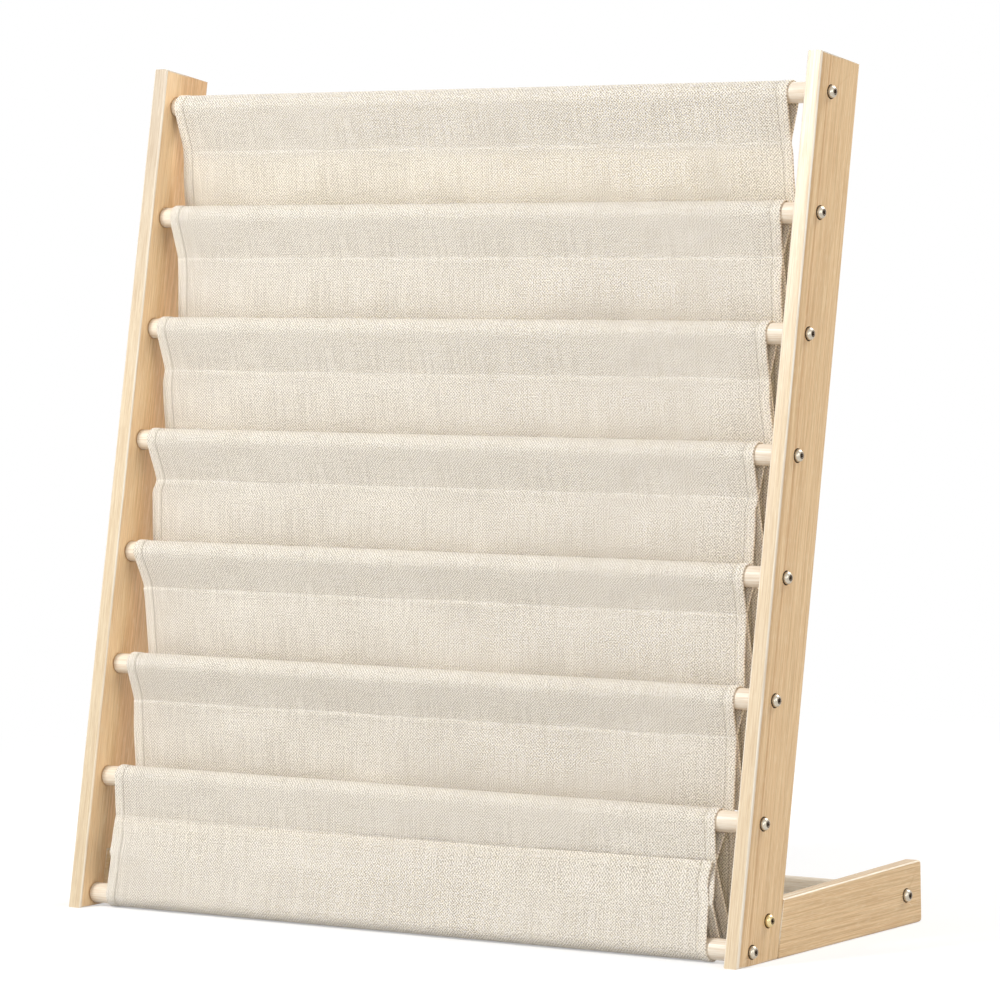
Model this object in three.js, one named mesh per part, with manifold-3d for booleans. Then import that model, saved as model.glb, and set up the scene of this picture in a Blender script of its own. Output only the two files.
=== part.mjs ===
// A leaning book display for children. Two side boards lean back, dowels join them,
// and a canvas sling hangs over the dowels as book pockets. Two rails on the floor and
// a rear dowel keep it upright. Millimetres: X to the right, Y to the rear, Z up.

import * as THREE from "three";
import { mergeVertices } from "three/addons/utils/BufferGeometryUtils.js";
import Module from "manifold-3d";

const wasm = await Module();
wasm.setup();

// Frame sizes
const height = 750;
const innerWidth = 690;
const overallDepth = 290;
const leanDegrees = 11.5;
const boardWidth = 60;
const boardThickness = 15;
const edgeRound = 2;

// Dowel sizes and places
const dowelDiameter = 18;
const dowelSetback = 19;
const shelfDowelCount = 7;
const topDowelDrop = 35;
const lastShelfDowelHeight = 115;
const bottomDowelHeight = 11.5;
const rearDowelHeight = 26;
const rearDowelSetback = 25.5;

// Foot rail sizes and its lap joint with the board
const railFrontHeight = 49;
const railRearHeight = 54;
const lapLength = 33;
const footBoltHeight = 34;
const footBoltSetback = 21;

// Fasteners
const headDiameter = 11.5;
const headHeight = 4.2;
const headRimHeight = 1;
const socketDiameter = 4.4;
const socketDepth = 1.8;
const screwDiameter = 5;
const screwGripLength = 35;
const boltDiameter = 6;
const nutSleeveDiameter = 8.4;
const nutFlangeHeight = 1.8;
const nutSleeveShortfall = 2;

// Canvas sling
const clothThickness = 1;
const clothSideGap = 18;
const clothShift = -3.5;
const sleeveDrop = 38;
const lastSleeveDrop = 34;
const seamForward = 4;
const lastSeamForward = 8.5;
const bottomSeamForward = 6;
const pocketMouth = 11;
const pocketFloorRise = 5;
const pocketBottomSetback = 12;
const pocketBottomRadius = 6;
const panelBelly = 5;
const bandDrop = 38;
const bandGap = 0.5;
const bandSlack = 3.5;
const bandPocketCount = 3;
const seamDrawIn = 3.5;
const foldDepth = 1.8;
const foldLength = 165;
const rearFoldShare = 0.5;

// Gap left between pieces that touch, and how far a cutter runs past what it cuts
const clearance = 0.3;
const overrun = 6;

// Counts that set how finely round and soft shapes are drawn
const dowelSides = 20;
const fastenerSides = 10;
const boreSides = 16;
const cornerSteps = 3;
const bevelSteps = 2;
const domeSteps = 2;
const sleeveSteps = 8;
const panelSteps = 5;
const backSteps = 2;
const hookSteps = 5;
const bandSteps = 3;
const clothStations = 3 * bandPocketCount + 1;

// Values that follow from the sizes above
const lean = THREE.MathUtils.degToRad(leanDegrees);
const slope = Math.tan(lean);
const boardFootDepth = boardWidth / Math.cos(lean);
const boardInner = innerWidth / 2;
const boardOuter = boardInner + boardThickness;
const boardMiddle = (boardInner + boardOuter) / 2;
const cornerRound = 2 * edgeRound;
const shelfDowelPitch = (height - topDowelDrop - lastShelfDowelHeight) / (shelfDowelCount - 1);
const pocketDepth = shelfDowelPitch - pocketFloorRise;
const dowelRadius = dowelDiameter / 2;
const dowelHalfLength = boardInner - clearance;
const clothHalfWidth = boardInner - clothSideGap;
const sleeveInnerRadius = dowelRadius + clearance;
const sleeveOuterRadius = sleeveInnerRadius + clothThickness;

const wood = { color: 0xe6c79a, roughness: 0.55, metalness: 0 };
const finishes = {
  board: new THREE.MeshStandardMaterial(wood),
  dowel: new THREE.MeshStandardMaterial({ ...wood, color: 0xf2dfba }),
  canvas: new THREE.MeshStandardMaterial({ color: 0xe4dccb, roughness: 0.95, metalness: 0 }),
  steel: new THREE.MeshStandardMaterial({ color: 0xb9b4aa, roughness: 0.3, metalness: 0.9 }),
  brass: new THREE.MeshStandardMaterial({ color: 0xc8b37e, roughness: 0.3, metalness: 0.9 }),
};

const bookshelf = new THREE.Group();
bookshelf.position.y = -overallDepth / 2;

function addPiece(name, geometry, finish) {
  const mesh = new THREE.Mesh(geometry, finish);
  mesh.name = name;
  bookshelf.add(mesh);
  return mesh;
}

// Solids are joined and cut as manifolds, which need merged positions alone.

function toSolid(geometry) {
  const bare = geometry.clone();
  bare.deleteAttribute("normal");
  bare.deleteAttribute("uv");
  const merged = mergeVertices(bare);
  return new wasm.Manifold(new wasm.Mesh({
    numProp: 3,
    vertProperties: new Float32Array(merged.attributes.position.array),
    triVerts: new Uint32Array(merged.index.array),
  }));
}

function fromSolid(solid) {
  const mesh = solid.getMesh();
  const geometry = new THREE.BufferGeometry();
  geometry.setAttribute("position", new THREE.BufferAttribute(mesh.vertProperties, 3));
  geometry.setIndex(new THREE.BufferAttribute(mesh.triVerts, 1));
  return geometry;
}

function cutAway(geometry, cutters) {
  const start = toSolid(geometry);
  return fromSolid(cutters.reduce((solid, cutter) => solid.subtract(toSolid(cutter)), start));
}

// Side profiles are drawn in Y and Z and given their thickness along X.

const alongX = new THREE.Matrix4().makeBasis(
  new THREE.Vector3(0, 1, 0),
  new THREE.Vector3(0, 0, 1),
  new THREE.Vector3(1, 0, 0),
);

// A corner is a place and the radius that it is rounded to, or zero for a crisp one.
function roundedShape(corners) {
  const shape = new THREE.Shape();
  corners.forEach(([y, z, radius], i) => {
    const corner = new THREE.Vector2(y, z);
    const towards = ([nextY, nextZ]) =>
      new THREE.Vector2(nextY, nextZ).sub(corner).setLength(radius).add(corner);
    const enter = towards(corners[(i + corners.length - 1) % corners.length]);
    const leave = towards(corners[(i + 1) % corners.length]);
    if (i === 0) shape.moveTo(enter.x, enter.y);
    else shape.lineTo(enter.x, enter.y);
    if (radius > 0) shape.quadraticCurveTo(y, z, leave.x, leave.y);
  });
  shape.closePath();
  return shape;
}

function slab(shape, lowX, highX, rounding = 0) {
  const geometry = new THREE.ExtrudeGeometry(shape, {
    depth: highX - lowX - 2 * rounding,
    curveSegments: cornerSteps,
    bevelEnabled: rounding > 0,
    bevelSize: rounding,
    bevelThickness: rounding,
    bevelOffset: -rounding,
    bevelSegments: bevelSteps,
  });
  geometry.translate(0, 0, lowX + rounding);
  return geometry.applyMatrix4(alongX);
}

function sideSlab(side, shape, innerX, outerX, rounding) {
  const ends = [side * innerX, side * outerX];
  return slab(shape, Math.min(...ends), Math.max(...ends), rounding);
}

function bore(radius, place) {
  const geometry = new THREE.CylinderGeometry(radius, radius, boardThickness + 2 * overrun, boreSides);
  geometry.rotateZ(Math.PI / 2);
  return geometry.translate(place.side * boardMiddle, place.y, place.z);
}

// Where the dowels run, as points of the side view

function dowelAt(z) {
  return { y: z * slope + dowelSetback / Math.cos(lean), z };
}

const shelfDowels = Array.from({ length: shelfDowelCount }, (_, i) =>
  dowelAt(height - topDowelDrop - i * shelfDowelPitch));
const bottomDowel = dowelAt(bottomDowelHeight);
const rearDowel = { y: overallDepth - rearDowelSetback, z: rearDowelHeight };
const footBolt = {
  y: boardFootDepth - footBoltSetback + footBoltHeight * slope,
  z: footBoltHeight,
};

// Side boards: leaning strips with a level foot, a square top and eased edges.
// A rabbet in the inner rear corner takes the foot rail's tongue.

function boardShape() {
  const topY = height * slope;
  return roundedShape([
    [0, 0, 0],
    [boardFootDepth, 0, 0],
    [topY + boardWidth * Math.cos(lean), height - boardWidth * Math.sin(lean), 0],
    [topY, height, 0],
  ]);
}

function rabbetShape() {
  const top = railFrontHeight + clearance;
  const front = (z) => boardFootDepth - lapLength + z * slope;
  return new THREE.Shape([
    new THREE.Vector2(front(-overrun), -overrun),
    new THREE.Vector2(boardFootDepth + lapLength, -overrun),
    new THREE.Vector2(boardFootDepth + lapLength, top),
    new THREE.Vector2(front(top), top),
  ]);
}

function sideBoard(side) {
  const rabbet = sideSlab(side, rabbetShape(), boardInner - overrun, boardMiddle + clearance / 2);
  const screwBores = [...shelfDowels, bottomDowel].map((dowel) =>
    bore(screwDiameter / 2 + clearance, { side, ...dowel }));
  const boltBore = bore(nutSleeveDiameter / 2 + clearance, { side, ...footBolt });
  const blank = sideSlab(side, boardShape(), boardInner, boardOuter, edgeRound);
  return cutAway(blank, [rabbet, ...screwBores, boltBore]);
}

// Foot rails: flush with the board's outer face, with a half-thickness tongue in front

function railShape() {
  const frontY = (z) => boardFootDepth - lapLength + clearance + z * slope;
  return roundedShape([
    [frontY(0), 0, 0],
    [overallDepth, 0, cornerRound],
    [overallDepth, railRearHeight, cornerRound],
    [boardFootDepth + clearance + railFrontHeight * slope, railFrontHeight, 0],
    [frontY(railFrontHeight), railFrontHeight, 0],
  ]);
}

function shoulderShape() {
  const shoulder = (z) => boardFootDepth + clearance + z * slope;
  const top = railFrontHeight + overrun;
  return new THREE.Shape([
    new THREE.Vector2(-overrun, -overrun),
    new THREE.Vector2(shoulder(-overrun), -overrun),
    new THREE.Vector2(shoulder(top), top),
    new THREE.Vector2(-overrun, top),
  ]);
}

function footRail(side) {
  const shoulder = sideSlab(side, shoulderShape(), boardMiddle - clearance / 2, boardOuter + overrun);
  const screwBore = bore(screwDiameter / 2 + clearance, { side, ...rearDowel });
  const boltBore = bore(nutSleeveDiameter / 2 + clearance, { side, ...footBolt });
  const blank = sideSlab(side, railShape(), boardInner, boardOuter, edgeRound);
  return cutAway(blank, [shoulder, screwBore, boltBore]);
}

// Turned pieces are drawn as radius and distance along the axis, then laid along X.

function turned(profile, sides) {
  const geometry = new THREE.LatheGeometry(profile.map(([r, h]) => new THREE.Vector2(r, h)), sides);
  return geometry.rotateZ(-Math.PI / 2);
}

// Dowels: round rods with a pilot bore in each end

function dowelRod() {
  const boreRadius = screwDiameter / 2 + clearance;
  const boreEnd = dowelHalfLength - screwGripLength - clearance;
  return turned([
    [0, -boreEnd],
    [boreRadius, -boreEnd],
    [boreRadius, -dowelHalfLength],
    [dowelRadius, -dowelHalfLength],
    [dowelRadius, dowelHalfLength],
    [boreRadius, dowelHalfLength],
    [boreRadius, boreEnd],
    [0, boreEnd],
  ], dowelSides);
}

// Screws and bolts: domed heads with a drive socket, drawn with the head's seat at zero

function fastener(shankDiameter, shankLength) {
  const headRadius = headDiameter / 2;
  const socketRadius = socketDiameter / 2;
  const dome = Array.from({ length: domeSteps }, (_, i) => {
    const turn = (i + 1) / (domeSteps + 1) * Math.PI / 2;
    return [
      socketRadius + (headRadius - socketRadius) * Math.cos(turn),
      headRimHeight + (headHeight - headRimHeight) * Math.sin(turn),
    ];
  });
  return turned([
    [0, -shankLength],
    [shankDiameter / 2, -shankLength],
    [shankDiameter / 2, 0],
    [headRadius, 0],
    [headRadius, headRimHeight],
    ...dome,
    [socketRadius, headHeight],
    [socketRadius, headHeight - socketDepth],
    [0, headHeight - socketDepth],
  ], fastenerSides);
}

function sleeveNut() {
  const boreRadius = boltDiameter / 2 + clearance;
  const sleeveLength = boardThickness - nutSleeveShortfall;
  return turned([
    [boreRadius, -sleeveLength],
    [nutSleeveDiameter / 2, -sleeveLength],
    [nutSleeveDiameter / 2, 0],
    [headDiameter / 2, 0],
    [headDiameter / 2, nutFlangeHeight / 2],
    [headDiameter / 2 - nutFlangeHeight / 2, nutFlangeHeight],
    [boreRadius, nutFlangeHeight],
    [boreRadius, -sleeveLength],
  ], fastenerSides);
}

// Turns a fastener so that its head faces out of the given face, and puts it there.
function seatFastener(mesh, facing, faceX, place) {
  if (facing < 0) mesh.rotation.z = Math.PI;
  mesh.position.set(faceX + facing * clearance, place.y, place.z);
}

// Canvas: each tier is drawn as a side section with the sleeve as a hole, and carried
// across the width. A point holds how much of the soft upright folds it takes, and how
// much of the slack in the small pockets.

function clothPoint(y, z, fold = 0, slack = 0) {
  return { y, z, fold, slack };
}

function arc(centre, radius, from, to, steps) {
  return Array.from({ length: steps + 1 }, (_, i) => {
    const angle = from + (to - from) * i / steps;
    return clothPoint(centre.y + radius * Math.cos(angle), centre.z + radius * Math.sin(angle));
  });
}

function touchAngle(centre, radius, point, turn) {
  const dy = point.y - centre.y;
  const dz = point.z - centre.z;
  return Math.atan2(dz, dy) + turn * Math.acos(radius / Math.hypot(dy, dz));
}

// Runs round a dowel from the rear of its seam to the front, over or under the rod.
function sleeveLoop(dowel, radius, rearEnd, frontEnd, side) {
  const rear = touchAngle(dowel, radius, rearEnd, side);
  const front = touchAngle(dowel, radius, frontEnd, -side) + side * 2 * Math.PI;
  return arc(dowel, radius, rear, front, sleeveSteps);
}

function sleeveOutside(dowel, seam, side) {
  const rearEnd = { y: seam.y + clothThickness, z: seam.z };
  const frontEnd = { y: seam.y - clothThickness, z: seam.z };
  return sleeveLoop(dowel, sleeveOuterRadius, rearEnd, frontEnd, side);
}

function sleeveInside(dowel, seam, side) {
  const apex = clothPoint(seam.y, seam.z + side * 2 * clothThickness);
  return [...sleeveLoop(dowel, sleeveInnerRadius, apex, apex, side), apex];
}

// Moves a line of points to both of its sides by half the cloth's thickness.
function bothSides(line) {
  const half = clothThickness / 2;
  const offset = (sign) => line.map((point, i) => {
    const before = line[Math.max(i - 1, 0)];
    const after = line[Math.min(i + 1, line.length - 1)];
    const dy = after.y - before.y;
    const dz = after.z - before.z;
    const length = Math.hypot(dy, dz);
    const shift = { y: sign * half * dz / length, z: -sign * half * dy / length };
    return clothPoint(point.y + shift.y, point.z + shift.z, point.fold, point.slack);
  });
  return { front: offset(1), rear: offset(-1) };
}

// A panel hangs from its seam, bellies forward and takes up the soft folds.
function panelLine(start, end, belly, endFold) {
  return Array.from({ length: panelSteps + 1 }, (_, i) => {
    const share = i / panelSteps;
    const swell = Math.sin(Math.PI * share);
    return clothPoint(
      start.y + (end.y - start.y) * share - belly * swell,
      start.z + (end.z - start.z) * share,
      swell + (endFold - swell) * share ** 2,
    );
  });
}

// Behind the next dowel the cloth goes down, turns and climbs to that dowel's seam.
function pocketLine(dowel, nextSeam) {
  const mouthRear = dowel.y + sleeveOuterRadius + pocketMouth;
  const behind = clothPoint(mouthRear + clothThickness / 2, dowel.z, rearFoldShare);
  const turn = { y: dowel.y + pocketBottomSetback, z: dowel.z - pocketDepth + pocketBottomRadius };
  const hook = arc(turn, pocketBottomRadius, 0, -Math.PI, hookSteps);
  const drop = Array.from({ length: backSteps - 1 }, (_, i) => {
    const share = (i + 1) / backSteps;
    return clothPoint(
      behind.y + (hook[0].y - behind.y) * share,
      behind.z + (hook[0].z - behind.z) * share,
    );
  });
  const climb = [...drop, ...hook].map((point) => clothPoint(point.y, point.z, rearFoldShare));
  const end = clothPoint(nextSeam.y + clothThickness / 2 + clearance, nextSeam.z - clearance);
  return { behind, climb: [...climb, end] };
}

function seamBelow(dowel, drop, forward) {
  return { y: dowel.y - forward, z: dowel.z - drop };
}

// A plain run of cloth. Its slack grows from nothing at the start to the end's share.
function straightLine(start, end, steps, endSlack) {
  return Array.from({ length: steps + 1 }, (_, i) => {
    const share = i / steps;
    const y = start.y + (end.y - start.y) * share;
    return clothPoint(y, start.z + (end.z - start.z) * share, 0, endSlack * Math.sin(Math.PI / 2 * share));
  });
}

function pocketTierSection(dowel, seam, nextDowel, nextSeam) {
  const hang = clothPoint(seam.y - clothThickness / 2, seam.z);
  const { behind, climb } = pocketLine(nextDowel, nextSeam);
  const line = [...panelLine(hang, behind, panelBelly, rearFoldShare), ...climb];
  const { front, rear } = bothSides(line);
  const outline = [
    ...sleeveOutside(dowel, seam, 1),
    clothPoint(seam.y - clothThickness, seam.z),
    ...front.slice(1),
    ...rear.slice(1).reverse(),
    clothPoint(seam.y, seam.z - clothThickness / 2),
    clothPoint(seam.y + clothThickness, seam.z),
  ];
  return { outline, holes: [sleeveInside(dowel, seam, 1)] };
}

// The last panel runs down to the sleeve of the bottom dowel. From that sleeve's seam a
// band climbs again in front of the panel and makes a row of small pockets.
function lastTierSection(dowel, seam) {
  const half = clothThickness / 2;
  const bottomSeam = { y: bottomDowel.y - bottomSeamForward, z: bottomDowel.z + sleeveDrop };
  const hang = clothPoint(seam.y - half, seam.z);
  const panelLean = (hang.y - bottomSeam.y - half) / (hang.z - bottomSeam.z);
  const layer = clothThickness * Math.hypot(1, panelLean);
  const bandTop = { z: dowel.z - bandDrop };
  bandTop.y = hang.y - (hang.z - bandTop.z) * panelLean - layer - bandGap;
  const panel = bothSides(straightLine(hang, { y: bottomSeam.y + half, z: bottomSeam.z }, panelSteps, 0));
  const band = bothSides(straightLine({ y: bottomSeam.y - half, z: bottomSeam.z }, bandTop, bandSteps, 1));
  const outline = [
    ...sleeveOutside(dowel, seam, 1),
    clothPoint(seam.y - clothThickness, seam.z),
    ...panel.front.slice(1, -1),
    clothPoint(bottomSeam.y, bottomSeam.z + clothThickness),
    ...band.front.slice(1),
    ...band.rear.slice(1).reverse(),
    clothPoint(bottomSeam.y - clothThickness, bottomSeam.z),
    ...sleeveOutside(bottomDowel, bottomSeam, -1).reverse(),
    clothPoint(bottomSeam.y + clothThickness, bottomSeam.z),
    ...panel.rear.slice(1, -1).reverse(),
    clothPoint(seam.y, seam.z - half),
    clothPoint(seam.y + clothThickness, seam.z),
  ];
  return { outline, holes: [sleeveInside(dowel, seam, 1), sleeveInside(bottomDowel, bottomSeam, -1)] };
}

function asVectors(points) {
  return points.map((point) => new THREE.Vector2(point.y, point.z));
}

function wound(points, clockwise) {
  const isClockwise = THREE.ShapeUtils.isClockWise(asVectors(points));
  return isClockwise === clockwise ? points : [...points].reverse();
}

// Carries a section across the width. The side hems draw in a little at the seam.
function clothTier({ outline, holes }, seam, phase) {
  const rings = [wound(outline, false), ...holes.map((hole) => wound(hole, true))];
  const points = rings.flat();
  const ringStarts = rings.map((_, i) => rings.slice(0, i).flat().length);
  const halfWidth = (point) => {
    const away = (point.z - seam.z) / sleeveDrop;
    return clothHalfWidth - seamDrawIn * Math.exp(-(away ** 2));
  };
  const positions = [];
  for (let station = 0; station < clothStations; station += 1) {
    const share = 2 * station / (clothStations - 1) - 1;
    const pout = bandSlack * Math.abs(Math.sin(bandPocketCount * Math.PI * (share + 1) / 2));
    points.forEach((point) => {
      const x = clothShift + share * halfWidth(point);
      const fold = foldDepth * point.fold * Math.sin(2 * Math.PI * x / foldLength + phase);
      positions.push(x, point.y + fold - pout * point.slack, point.z);
    });
  }
  const triangles = [];
  for (let station = 0; station < clothStations - 1; station += 1) {
    rings.forEach((ring, r) => ring.forEach((_, i) => {
      const a = station * points.length + ringStarts[r] + i;
      const d = station * points.length + ringStarts[r] + (i + 1) % ring.length;
      const b = a + points.length;
      const c = d + points.length;
      triangles.push(a, d, b, b, d, c);
    }));
  }
  const last = (clothStations - 1) * points.length;
  const caps = THREE.ShapeUtils.triangulateShape(asVectors(rings[0]), rings.slice(1).map(asVectors));
  caps.forEach(([a, b, c]) => triangles.push(a, c, b, last + a, last + b, last + c));
  const geometry = new THREE.BufferGeometry();
  geometry.setAttribute("position", new THREE.Float32BufferAttribute(positions, 3));
  geometry.setIndex(triangles);
  return geometry;
}

function tierPhase(tier) {
  return tier * Math.sqrt(2) * Math.PI;
}

// The wooden frame
const sides = [["left", -1], ["right", 1]];
sides.forEach(([name, side]) => {
  addPiece(`side_board_${name}`, sideBoard(side), finishes.board);
  addPiece(`foot_rail_${name}`, footRail(side), finishes.board);
});

const namedDowels = [
  ...shelfDowels.map((place, i) => [`shelf_dowel_${i + 1}`, place]),
  ["bottom_dowel", bottomDowel],
  ["rear_dowel", rearDowel],
];
namedDowels.forEach(([name, place]) => {
  addPiece(name, dowelRod(), finishes.dowel).position.set(0, place.y, place.z);
});

// One screw into each end of each dowel, and a bolt and nut through each lap joint
const screwLength = boardThickness + 2 * clearance + screwGripLength - clearance;
sides.forEach(([name, side]) => {
  namedDowels.forEach(([dowelName, place]) => {
    const shape = fastener(screwDiameter, screwLength);
    const screw = addPiece(`${dowelName}_screw_${name}`, shape, finishes.steel);
    seatFastener(screw, side, side * boardOuter, place);
  });
  const boltLength = boardThickness + clearance;
  const bolt = addPiece(`foot_bolt_${name}`, fastener(boltDiameter, boltLength), finishes.brass);
  seatFastener(bolt, side, side * boardOuter, footBolt);
  const nut = addPiece(`foot_nut_${name}`, sleeveNut(), finishes.brass);
  seatFastener(nut, -side, side * boardInner, footBolt);
});

// The canvas sling, one sewn panel for each shelf dowel
const seams = shelfDowels.map((dowel, i) => i === shelfDowelCount - 1
  ? seamBelow(dowel, lastSleeveDrop, lastSeamForward)
  : seamBelow(dowel, sleeveDrop, seamForward));
shelfDowels.forEach((dowel, i) => {
  const section = i === shelfDowelCount - 1
    ? lastTierSection(dowel, seams[i])
    : pocketTierSection(dowel, seams[i], shelfDowels[i + 1], seams[i + 1]);
  addPiece(`sling_tier_${i + 1}`, clothTier(section, seams[i], tierPhase(i)), finishes.canvas);
});

export default bookshelf;
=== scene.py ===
import math
from functools import partial
import bmesh
import bpy
import numpy as np
from mathutils import Matrix, Vector


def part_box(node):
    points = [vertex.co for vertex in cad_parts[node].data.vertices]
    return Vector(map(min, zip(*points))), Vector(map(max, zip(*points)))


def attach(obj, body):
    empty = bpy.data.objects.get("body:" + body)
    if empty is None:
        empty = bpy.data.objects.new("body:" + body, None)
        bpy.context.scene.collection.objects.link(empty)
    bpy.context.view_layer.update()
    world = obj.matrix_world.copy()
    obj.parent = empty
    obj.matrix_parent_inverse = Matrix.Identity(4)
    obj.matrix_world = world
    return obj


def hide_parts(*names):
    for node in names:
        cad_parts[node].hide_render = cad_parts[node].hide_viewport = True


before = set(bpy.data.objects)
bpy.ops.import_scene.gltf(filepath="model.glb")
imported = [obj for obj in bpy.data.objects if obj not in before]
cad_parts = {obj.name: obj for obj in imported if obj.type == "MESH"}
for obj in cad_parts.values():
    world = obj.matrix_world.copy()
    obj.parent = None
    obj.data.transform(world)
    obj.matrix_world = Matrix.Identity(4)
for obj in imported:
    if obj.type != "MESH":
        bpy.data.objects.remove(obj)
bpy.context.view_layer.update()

# Camera. It stands to the right of the front, 4.5 metres away and a little above
# the middle of the shelf, with a long lens, as in the photograph.
camera_data = bpy.data.cameras.new("camera")
camera_data.sensor_width = 36
camera_data.lens = 186.587
camera_data.clip_end = 60
camera = bpy.data.objects.new("camera", camera_data)
bpy.context.collection.objects.link(camera)
camera_yaw, camera_pitch, camera_roll = -0.628022, -0.073212, -0.021237
looking = Vector((
    math.sin(camera_yaw) * math.cos(camera_pitch),
    math.cos(camera_yaw) * math.cos(camera_pitch),
    math.sin(camera_pitch),
))
level = Vector((math.cos(camera_yaw), -math.sin(camera_yaw), 0))
upright = level.cross(looking)
camera_right = level * math.cos(camera_roll) + upright * math.sin(camera_roll)
camera_up = upright * math.cos(camera_roll) - level * math.sin(camera_roll)
camera_place = Matrix.Translation((2.67670, -3.65271, 0.69758))
camera_turn = Matrix((camera_right, camera_up, -looking)).transposed().to_4x4()
camera.matrix_world = camera_place @ camera_turn
bpy.context.scene.camera = camera
bpy.context.scene.view_settings.view_transform = "Standard"


# Floor. A plain pale studio floor that keeps the shelf's soft shadow and fades to
# white away from it, so that it meets the white background without an edge.
def start_finish(name):
    """A new material, its node tree and its main shader."""
    finish = bpy.data.materials.new(name)
    finish.use_nodes = True
    return finish, finish.node_tree, finish.node_tree.nodes["Principled BSDF"]


def settle(node, values):
    """Sets a node's own sockets by their names."""
    for name, value in values.items():
        node.inputs[name].default_value = value


def fill(tree, sockets, values):
    """Gives each socket in turn a number, a colour or another node's output."""
    for socket, value in zip(sockets, values):
        if isinstance(value, (float, int)):
            socket.default_value = value
        elif isinstance(value, tuple):
            socket.default_value = (*value, 1)
        elif value is not None:
            tree.links.new(value, socket)


def worked(tree, operation, first, second=None):
    """A sum, product or other operation on one or two values."""
    node = tree.nodes.new("ShaderNodeMath")
    node.operation = operation
    fill(tree, node.inputs, (first, second))
    return node.outputs[0]


def ranged(tree, value, low, high, to_low=0.0, to_high=1.0, fall="LINEAR"):
    """A value spread from one range over another and held inside it."""
    node = tree.nodes.new("ShaderNodeMapRange")
    node.interpolation_type = fall
    fill(tree, node.inputs, (value, low, high, to_low, to_high))
    return node.outputs[0]


def mixed_shader(tree, share, first, second):
    node = tree.nodes.new("ShaderNodeMixShader")
    fill(tree, node.inputs, (share, first, second))
    return node.outputs[0]


def white_glow(tree, strength, kind="ShaderNodeEmission"):
    node = tree.nodes.new(kind)
    settle(node, {"Color": (1, 1, 1, 1), "Strength": strength})
    return node.outputs[0]


def seen_directly(tree):
    """1 for what the camera sees, also in metal or through glass, and 0 for light."""
    path = tree.nodes.new("ShaderNodeLightPath").outputs
    either = worked(tree, "MAXIMUM", path["Is Camera Ray"], path["Is Glossy Ray"])
    return worked(tree, "MAXIMUM", either, path["Is Transmission Ray"])


floor_radius, shadow_radius, white_radius, floor_lift = 9, 0.55, 1.5, 0.42
bpy.ops.object.select_all(action="DESELECT")
bpy.ops.mesh.primitive_circle_add(vertices=64, radius=floor_radius, fill_type="NGON", location=(0, 0, 0))
studio_floor = bpy.context.object
studio_floor.name = "studio_floor"
floor_finish, tree, paint = start_finish("studio_floor")
settle(paint, {"Base Color": (0.62, 0.62, 0.62, 1), "Roughness": 0.9, "Specular IOR Level": 0.1})
lifted = tree.nodes.new("ShaderNodeAddShader")
fill(tree, lifted.inputs, (paint.outputs[0], white_glow(tree, floor_lift)))
away = tree.nodes.new("ShaderNodeVectorMath")
away.operation = "LENGTH"
tree.links.new(tree.nodes.new("ShaderNodeTexCoord").outputs["Object"], away.inputs[0])
fade = ranged(tree, away.outputs["Value"], shadow_radius, white_radius, fall="SMOOTHSTEP")
faded = mixed_shader(tree, fade, lifted.outputs[0], white_glow(tree, 1))
shown = mixed_shader(tree, seen_directly(tree), paint.outputs[0], faded)
tree.links.new(shown, tree.nodes["Material Output"].inputs["Surface"])
studio_floor.data.materials.append(floor_finish)

# Light. An even pale room with four large soft lamps: the key lamp in front, to the left
# and above, two weaker ones at the right, and one that lights the shelf from behind.
room = bpy.data.worlds.new("studio")
bpy.context.scene.world = room
room.use_nodes = True
tree = room.node_tree
room_light = tree.nodes["Background"]
settle(room_light, {"Color": (1, 0.995, 0.985, 1), "Strength": 0.33})
backdrop = white_glow(tree, 1, "ShaderNodeBackground")
shown = mixed_shader(tree, seen_directly(tree), room_light.outputs[0], backdrop)
tree.links.new(shown, tree.nodes["World Output"].inputs["Surface"])


def soft_lamp(name, place, aim, size, power):
    lamp_data = bpy.data.lights.new(name, "AREA")
    lamp_data.shape = "RECTANGLE"
    lamp_data.size, lamp_data.size_y = size
    lamp_data.energy = power
    lamp = bpy.data.objects.new(name, lamp_data)
    bpy.context.collection.objects.link(lamp)
    lamp.location = place
    lamp.rotation_euler = (Vector(aim) - Vector(place)).to_track_quat("-Z", "Y").to_euler()


soft_lamp("key_lamp", (-1.8, -2.8, 2.9), (0, 0, 0.35), (1.3, 1.3), 134)
soft_lamp("fill_lamp", (2.3, -3.4, 1.0), (0, 0, 0.4), (1.3, 1.3), 26)
soft_lamp("side_lamp", (3.2, -0.8, 1.3), (0, 0, 0.3), (1.3, 1.3), 18)
soft_lamp("rear_lamp", (1.2, 2.6, 2.8), (0, 0, 0.3), (1.6, 1.6), 95)


# Side boards and foot rails. Planed pine strips 15 mm thick with eased edges and a
# satin clear coat, lapped and bolted at the foot. The CAD nodes have their full shape.
def tinted(tree, share, first, second, blend="MIX"):
    """Two colours mixed by a share."""
    node = tree.nodes.new("ShaderNodeMix")
    node.data_type = "RGBA"
    node.blend_type = blend
    fill(tree, (node.inputs[0], node.inputs[6], node.inputs[7]), (share, first, second))
    return node.outputs[2]


def placed(tree, vector, values):
    """Coordinates turned, stretched or moved."""
    node = tree.nodes.new("ShaderNodeMapping")
    settle(node, values)
    tree.links.new(vector, node.inputs["Vector"])
    return node.outputs[0]


def noise(tree, vector, scale, detail=2.0, roughness=0.5, dimensions="3D"):
    node = tree.nodes.new("ShaderNodeTexNoise")
    node.noise_dimensions = dimensions
    settle(node, {"Scale": scale, "Detail": detail, "Roughness": roughness})
    tree.links.new(vector, node.inputs["Vector"])
    return node.outputs["Fac"]


def parts_of(tree, vector):
    """The X, Y and Z of a vector."""
    node = tree.nodes.new("ShaderNodeSeparateXYZ")
    tree.links.new(vector, node.inputs[0])
    return node.outputs


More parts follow.
